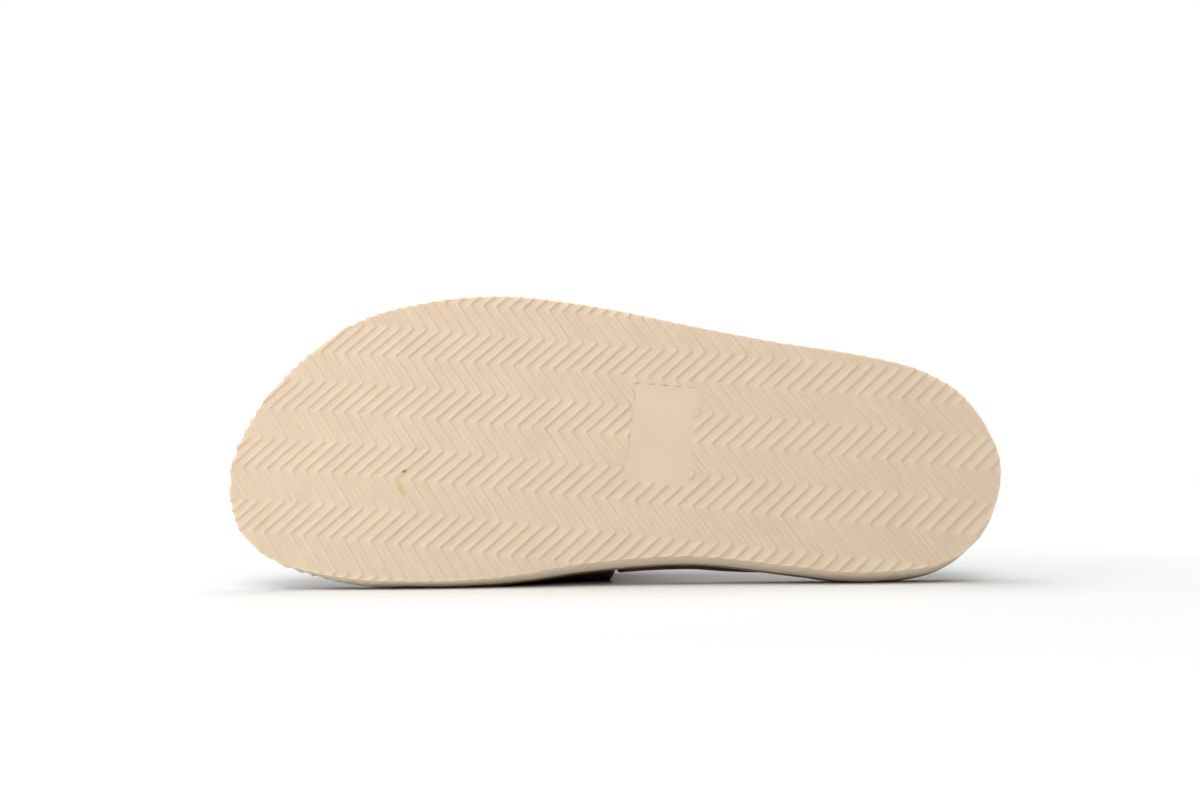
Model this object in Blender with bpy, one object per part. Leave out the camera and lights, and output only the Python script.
"""Slide sandal for a left foot, lying on its inner side as if it had been set down there.

Four pieces are put together the way a bench maker does it: a rubber outsole, a thin leather
midsole on it, one broad leather strap whose margins are turned in under the footbed, and a
suede footbed that closes the inside. Each piece is modelled upright on its tread, with x from
toe to heel, y towards the inner (medial) side and z up from the tread. The whole shoe is then
laid on its side, on the three points where it balances. Lengths are in millimetres until a
point is placed.
"""

import math

import bmesh
import bpy
import numpy as np
from mathutils import Matrix, Vector

MM = 0.001

# Driving dimensions of the shoe.
LENGTH = 285.0
BALL_WIDTH = 112.0
INSTEP_HEIGHT = 59.0  # room for the foot under the strap's back edge
TOE_ROOM = 33.0  # room under the strap's front edge

# Sole outline. Each row is a section across the sole: its place along the length, and how far
# the edge lies to the inner and the outer side, as shares of the ball width.
SOLE_SECTIONS = (
    # along, inner, outer
    (0.021, 0.303, 0.082),
    (0.070, 0.411, 0.253),
    (0.154, 0.479, 0.417),
    (0.263, 0.503, 0.489),
    (0.368, 0.493, 0.501),
    (0.491, 0.448, 0.451),
    (0.614, 0.432, 0.371),
    (0.737, 0.468, 0.296),
    (0.842, 0.495, 0.242),
    (0.919, 0.456, 0.179),
    (0.968, 0.362, 0.082),
)
TOE_TIP_ACROSS = 0.103
HEEL_TIP_ACROSS = 0.134

# Thicknesses of the layers, and the gap that keeps neighbours apart.
OUTSOLE_FORE = 8.0
OUTSOLE_WAIST = 11.2
OUTSOLE_HEEL = 10.0
WAIST_BUILDS = (0.30, 0.56)  # shares of the length between which the fore part thickens
WAIST_FALLS = (0.62, 0.82)  # and between which the waist thins to the heel
MIDSOLE = 3.2
FOOTBED = 4.0
FOOTBED_INSET = 2.0
FOOTBED_ROLL = 2.5  # how far the rim rolls down at its edge
ROLL_WIDTH = 7.0
GAP = 0.3

# The tread is flat from the ball to the heel, and curves up ahead of it and behind it.
TOE_SPRING_START = 0.28
TOE_SPRING = 6.5
HEEL_SPRING_START = 0.84
HEEL_SPRING = 1.5

# Footbed contour: a cup round the heel and a swelling under the arch.
CUP_RISE = 3.5
CUP_RIM = 24.0  # width of the rim that slopes down into the cup
CUP_DEEPENS = (0.60, 0.80)  # shares of the length
ARCH_RISE = 4.5
ARCH_CENTRE = 0.60
ARCH_REACH = 0.13
ARCH_FULL = 0.9  # share of the half width, from the middle, where the swelling is highest

# Strap: where its edges meet the sole, from the toe, at the inner and the outer side.
STRAP_FRONT_INNER = 0.243
STRAP_FRONT_OUTER = 0.285
STRAP_BACK_INNER = 0.515
STRAP_BACK_OUTER = 0.535
STRAP_FRONT_BOW = 4.0  # how far the middle of an edge lies towards the heel
STRAP_BACK_BOW = -12.0
STRAP_WALL = 2.6
STRAP_RIDGE = 14.0  # the ridge of the instep lies to the inner side
STRAP_INSET = 0.5  # the sole's edge stands this far proud of the strap
INNER_WALL_FRONT = 0.447  # reach of the inner wall half-way up, as a share of the ball width
INNER_WALL_BACK = 0.461
INNER_WALL_RISE = 0.62  # how high a wall's curve aims, as a share of the strap's rise
OUTER_WALL_RISE = 0.55
INNER_BROW = 0.55  # how far the top runs level, as a share of the way to the foot
OUTER_BROW = 0.52
OUTER_LEAN = 4.0  # degrees by which the outer wall leans in
MARGIN_WIDTH = 12.0
MARGIN_THICKNESS = 1.3

# Densities for the balance of the lying shoe, in grams per cubic millimetre.
RUBBER = 0.00055
LEATHER = 0.00090
SUEDE_ON_CORK = 0.00035

STATIONS = 60
OUTLINE_STEPS = 14
STRAP_STEPS_ALONG = 10
STRAP_STEPS_HALF = 13
FOOTBED_COLUMNS = 12
MERGE_DISTANCE = 0.02
SHARP_ANGLE = 35.0

CREAM_RUBBER = (0.76, 0.64, 0.48)
BURNISHED_LEATHER = (0.27, 0.165, 0.080)
DARK_RED_SUEDE = (0.045, 0.016, 0.010)
DARK_CALF = (0.020, 0.012, 0.008)


def smooth_step(low, high, value):
    share = min(1.0, max(0.0, (value - low) / (high - low)))
    return share * share * (3.0 - 2.0 * share)


def outline():
    """The sole's outline: a closed Catmull-Rom curve through both edges and the two tips."""
    inner = [(along * LENGTH, side * BALL_WIDTH) for along, side, _ in SOLE_SECTIONS]
    outer = [(along * LENGTH, -side * BALL_WIDTH) for along, _, side in SOLE_SECTIONS]
    toe = (0.0, TOE_TIP_ACROSS * BALL_WIDTH)
    heel = (LENGTH, HEEL_TIP_ACROSS * BALL_WIDTH)
    knots = np.array([toe] + inner + [heel] + outer[::-1])
    count = len(knots)
    points = []
    for index in range(count):
        p0, p1, p2, p3 = (knots[(index + shift) % count] for shift in (-1, 0, 1, 2))
        t0 = 0.0
        t1 = t0 + math.sqrt(np.linalg.norm(p1 - p0))
        t2 = t1 + math.sqrt(np.linalg.norm(p2 - p1))
        t3 = t2 + math.sqrt(np.linalg.norm(p3 - p2))
        for t in np.linspace(t1, t2, OUTLINE_STEPS, endpoint=False):
            a1 = (t1 - t) / (t1 - t0) * p0 + (t - t0) / (t1 - t0) * p1
            a2 = (t2 - t) / (t2 - t1) * p1 + (t - t1) / (t2 - t1) * p2
            a3 = (t3 - t) / (t3 - t2) * p2 + (t - t2) / (t3 - t2) * p3
            b1 = (t2 - t) / (t2 - t0) * a1 + (t - t0) / (t2 - t0) * a2
            b2 = (t3 - t) / (t3 - t1) * a2 + (t - t1) / (t3 - t1) * a3
            points.append((t2 - t) / (t2 - t1) * b1 + (t - t1) / (t2 - t1) * b2)
    return np.array(points)


def inset_outline(points, inset):
    """Move every point of the outline inwards by inset(x, is_inner_side)."""
    ahead = np.roll(points, -1, axis=0)
    behind = np.roll(points, 1, axis=0)
    tangent = ahead - behind
    tangent /= np.linalg.norm(tangent, axis=1)[:, None]
    inward = np.stack([tangent[:, 1], -tangent[:, 0]], axis=1)
    depth = np.array([inset(x, y > 0.0) for x, y in points])
    return points + inward * depth[:, None]


def edges(points):
    """The outline as two functions of x: the inner edge and the outer edge."""
    toe = int(np.argmin(points[:, 0]))
    points = np.roll(points, -toe, axis=0)
    heel = int(np.argmax(points[:, 0]))
    inner = points[: heel + 1]
    outer = np.vstack([points[heel:], points[:1]])[::-1]

    def inner_edge(x):
        return float(np.interp(x, inner[:, 0], inner[:, 1]))

    def outer_edge(x):
        return float(np.interp(x, outer[:, 0], outer[:, 1]))

    return inner_edge, outer_edge, float(points[:, 0].min()), float(points[:, 0].max())


def tread_height(x):
    place = x / LENGTH
    ahead = max(0.0, 1.0 - place / TOE_SPRING_START)
    behind = max(0.0, (place - HEEL_SPRING_START) / (1.0 - HEEL_SPRING_START))
    return TOE_SPRING * ahead * ahead + HEEL_SPRING * behind * behind


def outsole_top(x):
    place = x / LENGTH
    waist = (OUTSOLE_WAIST - OUTSOLE_FORE) * smooth_step(*WAIST_BUILDS, place)
    heel = (OUTSOLE_HEEL - OUTSOLE_WAIST) * smooth_step(*WAIST_FALLS, place)
    return tread_height(x) + OUTSOLE_FORE + waist + heel


def midsole_top(x):
    return outsole_top(x) + GAP + MIDSOLE


def edge_distance(x, y):
    """How far a point inside the sole lies from its outline."""
    starts = FULL_OUTLINE
    sides = np.roll(starts, -1, axis=0) - starts
    offsets = np.array([x, y]) - starts
    share = np.clip((offsets * sides).sum(axis=1) / (sides * sides).sum(axis=1), 0.0, 1.0)
    return float(np.linalg.norm(offsets - sides * share[:, None], axis=1).min())


def arch_share(x):
    return math.exp(-(((x / LENGTH - ARCH_CENTRE) / ARCH_REACH) ** 2))


def footbed_top(x, y):
    """The inside of the shoe: flat under the toes, cupped at the heel, raised at the arch."""
    inner_edge, outer_edge, _, _ = FULL_EDGES
    middle = 0.5 * (inner_edge(x) + outer_edge(x))
    half = max(1.0, 0.5 * (inner_edge(x) - outer_edge(x)))
    side = (y - middle) / half
    depth = edge_distance(x, y)
    cup = smooth_step(*CUP_DEEPENS, x / LENGTH) * (1.0 - smooth_step(FOOTBED_INSET, CUP_RIM, depth))
    arch = arch_share(x) * smooth_step(0.0, ARCH_FULL, side)
    roll = 1.0 - smooth_step(FOOTBED_INSET, ROLL_WIDTH, depth)
    rise = CUP_RISE * cup + ARCH_RISE * arch - FOOTBED_ROLL * roll
    return midsole_top(x) + GAP + FOOTBED + rise


def grid_solid(name, rows, columns, under, over):
    """A closed solid between two mapped grids: under(i, j) and over(i, j) give the points."""
    work = bmesh.new()
    bmesh.ops.create_grid(work, x_segments=rows, y_segments=columns, size=1.0)
    place = {}
    for vert in work.verts:
        row = round((vert.co.x + 1.0) * 0.5 * rows)
        column = round((vert.co.y + 1.0) * 0.5 * columns)
        place[vert] = (row, column)
    lifted = bmesh.ops.extrude_face_region(work, geom=work.faces[:], use_keep_orig=True)
    grid_places = {vert.co.to_tuple(5): spot for vert, spot in place.items()}
    for item in lifted["geom"]:
        if isinstance(item, bmesh.types.BMVert):
            item.co = Vector(over(*grid_places[item.co.to_tuple(5)])) * MM
    for vert, spot in place.items():
        vert.co = Vector(under(*spot)) * MM
    bmesh.ops.remove_doubles(work, verts=work.verts[:], dist=MERGE_DISTANCE * MM)
    bmesh.ops.recalc_face_normals(work, faces=work.faces[:])
    mesh = bpy.data.meshes.new(name)
    work.to_mesh(mesh)
    work.free()
    piece = bpy.data.objects.new(name, mesh)
    bpy.context.scene.collection.objects.link(piece)
    return piece


def sole_layer(name, outline_points, columns, under_height, over_height):
    """One layer of the sole, section by section, with sections closer at the round ends."""
    inner_edge, outer_edge, start, end = edges(outline_points)
    turns = np.linspace(0.0, math.pi, STATIONS + 1)
    stations = start + (end - start) * (1.0 - np.cos(turns)) * 0.5

    def point(row, column, height):
        x = float(stations[row])
        share = 0.5 - 0.5 * math.cos(math.pi * column / columns) if columns > 2 else column / columns
        y = outer_edge(x) + (inner_edge(x) - outer_edge(x)) * share
        return x, y, height(x, y)

    def under(row, column):
        return point(row, column, under_height)

    def over(row, column):
        return point(row, column, over_height)

    return grid_solid(name, STATIONS, columns, under, over)


def bezier(p0, p1, p2, p3, share):
    rest = 1.0 - share
    return (
        rest**3 * p0 + 3 * rest**2 * share * p1 + 3 * rest * share**2 * p2 + share**3 * p3
    )


def strap_height(x):
    """Height of the strap's ridge over the tread at its outer face."""
    front = STRAP_FRONT_INNER * LENGTH
    back = STRAP_BACK_INNER * LENGTH
    share = (x - front) / (back - front)
    room = TOE_ROOM + (INSTEP_HEIGHT - TOE_ROOM) * share
    return midsole_top(x) + GAP + FOOTBED + room + STRAP_WALL


def strap_section(x, turn):
    """A point of the strap's outer face: turn runs 0 to 1 from inner foot to outer foot."""
    inner_edge, outer_edge, _, _ = FULL_EDGES
    base = midsole_top(x) + GAP
    ridge = np.array([STRAP_RIDGE, strap_height(x)])
    rise = ridge[1] - base
    if turn <= 0.5:
        foot = np.array([inner_edge(x) - STRAP_INSET, base])
        share = smooth_step(STRAP_FRONT_INNER, STRAP_BACK_INNER, x / LENGTH)
        reach = INNER_WALL_FRONT + (INNER_WALL_BACK - INNER_WALL_FRONT) * share
        wall = np.array([reach * BALL_WIDTH, base + INNER_WALL_RISE * rise])
        brow = ridge + np.array([INNER_BROW * (foot[0] - ridge[0]), 0.0])
        return bezier(foot, wall, brow, ridge, turn * 2.0)
    foot = np.array([outer_edge(x) + STRAP_INSET, base])
    lean = math.radians(OUTER_LEAN)
    wall = foot + OUTER_WALL_RISE * rise * np.array([math.sin(lean), math.cos(lean)])
    brow = ridge + np.array([OUTER_BROW * (foot[0] - ridge[0]), 0.0])
    return bezier(foot, wall, brow, ridge, (1.0 - turn) * 2.0)


def strap_faces(grow=0.0):
    """Outer and inner grids of the strap; grow adds room on every side for a cutter."""
    halves = 2 * STRAP_STEPS_HALF
    outer = np.zeros((STRAP_STEPS_ALONG + 1, halves + 1, 3))
    for row in range(STRAP_STEPS_ALONG + 1):
        for column in range(halves + 1):
            turn = column / halves
            bow = math.sin(math.pi * turn)
            front = STRAP_FRONT_INNER + (STRAP_FRONT_OUTER - STRAP_FRONT_INNER) * turn
            back = STRAP_BACK_INNER + (STRAP_BACK_OUTER - STRAP_BACK_INNER) * turn
            start = front * LENGTH + STRAP_FRONT_BOW * bow - grow
            end = back * LENGTH + STRAP_BACK_BOW * bow + grow
            x = start + (end - start) * row / STRAP_STEPS_ALONG
            y, z = strap_section(x, turn)
            outer[row, column] = (x, y, z)
    along = np.gradient(outer, axis=0)
    across = np.gradient(outer, axis=1)
    normal = np.cross(along, across)
    normal /= np.linalg.norm(normal, axis=2)[..., None]
    if normal[0, STRAP_STEPS_HALF, 2] < 0.0:
        normal = -normal
    inner = outer - normal * (STRAP_WALL + grow)
    outer = outer + normal * grow
    return outer, inner


def strap_solid(name, grow=0.0):
    """The band with its two margins turned in under the footbed."""
    outer, inner = strap_faces(grow)
    columns = outer.shape[1] + 1
    last = outer.shape[1] - 1

    def margin_end(row, edge, inward):
        x = edge[row, 0]
        return x, edge[row, 1] + inward * (MARGIN_WIDTH + 2.0 * grow), midsole_top(x) + GAP - grow

    def under(row, column):
        if column == 0:
            return margin_end(row, outer[:, 0], -1.0)
        if column == columns:
            return margin_end(row, outer[:, last], 1.0)
        point = outer[row, column - 1].copy()
        if column in (1, columns - 1):
            point[2] = midsole_top(point[0]) + GAP - grow
        return tuple(point)

    def over(row, column):
        rise = MARGIN_THICKNESS + 2.0 * grow
        if column in (0, columns):
            x, y, z = under(row, column)
            return x, y, z + rise
        point = inner[row, column - 1].copy()
        if column in (1, columns - 1):
            point[0] = outer[row, column - 1, 0]
            point[2] = midsole_top(point[0]) + GAP - grow + rise
        return tuple(point)

    return grid_solid(name, STRAP_STEPS_ALONG, columns, under, over)


def finish(piece, colour, roughness):
    """Give a piece its own material, and smooth shading between its sharp edges."""
    material = bpy.data.materials.new(piece.name)
    material.use_nodes = True
    shader = material.node_tree.nodes["Principled BSDF"]
    shader.inputs["Base Color"].default_value = (*colour, 1.0)
    shader.inputs["Roughness"].default_value = roughness
    shader.inputs["Metallic"].default_value = 0.0
    material.diffuse_color = (*colour, 1.0)
    piece.data.materials.append(material)
    piece.data.shade_smooth()
    piece.data.set_sharp_from_angle(angle=math.radians(SHARP_ANGLE))


def mass_centre(pieces):
    """Centre of mass of closed meshes, from (piece, density) pairs, and the mass in grams."""
    total = 0.0
    moment = Vector((0.0, 0.0, 0.0))
    for piece, density in pieces:
        piece.data.calc_loop_triangles()
        points = [vert.co for vert in piece.data.vertices]
        for triangle in piece.data.loop_triangles:
            a, b, c = (points[index] for index in triangle.vertices)
            mass = a.dot(b.cross(c)) / 6.0 * density / MM**3
            total += mass
            moment += (a + b + c) * 0.25 * mass
    return moment / total, total


def resting_face(pieces, balance):
    """Of the hull faces that the shoe can balance on, the outward normal nearest the inner side."""
    hull = bmesh.new()
    for piece in pieces:
        for vert in piece.data.vertices:
            hull.verts.new(vert.co)
    bmesh.ops.convex_hull(hull, input=hull.verts[:])
    best = None
    for face in hull.faces:
        normal = face.normal.copy()
        corners = [vert.co.copy() for vert in face.verts]
        if normal.dot(corners[0] - balance) < 0.0:
            normal.negate()
            corners.reverse()
        inside = True
        for index, corner in enumerate(corners):
            side = corners[(index + 1) % len(corners)] - corner
            inside = inside and side.cross(balance - corner).dot(normal) >= 0.0
        if inside and (best is None or normal.y > best[0].y):
            best = (normal, corners)
    hull.free()
    return best


def lay_down(pieces, weights):
    """Parent the pieces to an empty that turns the shoe over onto its inner side."""
    balance, _ = mass_centre(weights)
    normal, corners = resting_face(pieces, balance)
    turn = normal.rotation_difference(Vector((0.0, 0.0, -1.0))).to_matrix()
    length_axis = turn @ Vector((1.0, 0.0, 0.0))
    swing = Matrix.Rotation(-math.atan2(length_axis.y, length_axis.x), 3, "Z")
    turn = swing @ turn
    points = [turn @ vert.co for piece in pieces for vert in piece.data.vertices]
    low = Vector([min(point[axis] for point in points) for axis in range(3)])
    high = Vector([max(point[axis] for point in points) for axis in range(3)])
    shift = Vector((-0.5 * (low.x + high.x), -0.5 * (low.y + high.y), -low.z))
    shoe = bpy.data.objects.new("shoe", None)
    bpy.context.scene.collection.objects.link(shoe)
    shoe.matrix_world = Matrix.Translation(shift) @ turn.to_4x4()
    for piece in pieces:
        piece.parent = shoe
    return shoe


for old in list(bpy.data.objects):
    bpy.data.objects.remove(old, do_unlink=True)

FULL_OUTLINE = outline()
FULL_EDGES = edges(FULL_OUTLINE)

outsole = sole_layer(
    "outsole",
    FULL_OUTLINE,
    1,
    lambda x, y: tread_height(x),
    lambda x, y: outsole_top(x),
)
midsole = sole_layer(
    "midsole",
    FULL_OUTLINE,
    1,
    lambda x, y: outsole_top(x) + GAP,
    lambda x, y: midsole_top(x),
)


def footbed_inset(x, inner_side):
    """The footbed stops short of the sole's edge, but covers it along the arch."""
    return FOOTBED_INSET * (1.0 - arch_share(x) * inner_side)


footbed = sole_layer(
    "footbed",
    inset_outline(FULL_OUTLINE, footbed_inset),
    FOOTBED_COLUMNS,
    lambda x, y: midsole_top(x) + GAP,
    footbed_top,
)
strap = strap_solid("strap")

# The footbed is cut away where the strap's walls and margins go down beside and under it.
strap_room = strap_solid("strap_room", GAP)
strap_room.hide_render = True
strap_room.display_type = "WIRE"
seat = footbed.modifiers.new("strap_room", "BOOLEAN")
seat.operation = "DIFFERENCE"
seat.solver = "EXACT"
seat.object = strap_room

finish(outsole, CREAM_RUBBER, 0.65)
finish(midsole, BURNISHED_LEATHER, 0.55)
finish(footbed, DARK_RED_SUEDE, 0.95)
finish(strap, DARK_CALF, 0.50)

shoe = lay_down(
    [outsole, midsole, footbed, strap],
    [(outsole, RUBBER), (midsole, LEATHER), (footbed, SUEDE_ON_CORK), (strap, LEATHER)],
)
strap_room.parent = shoe
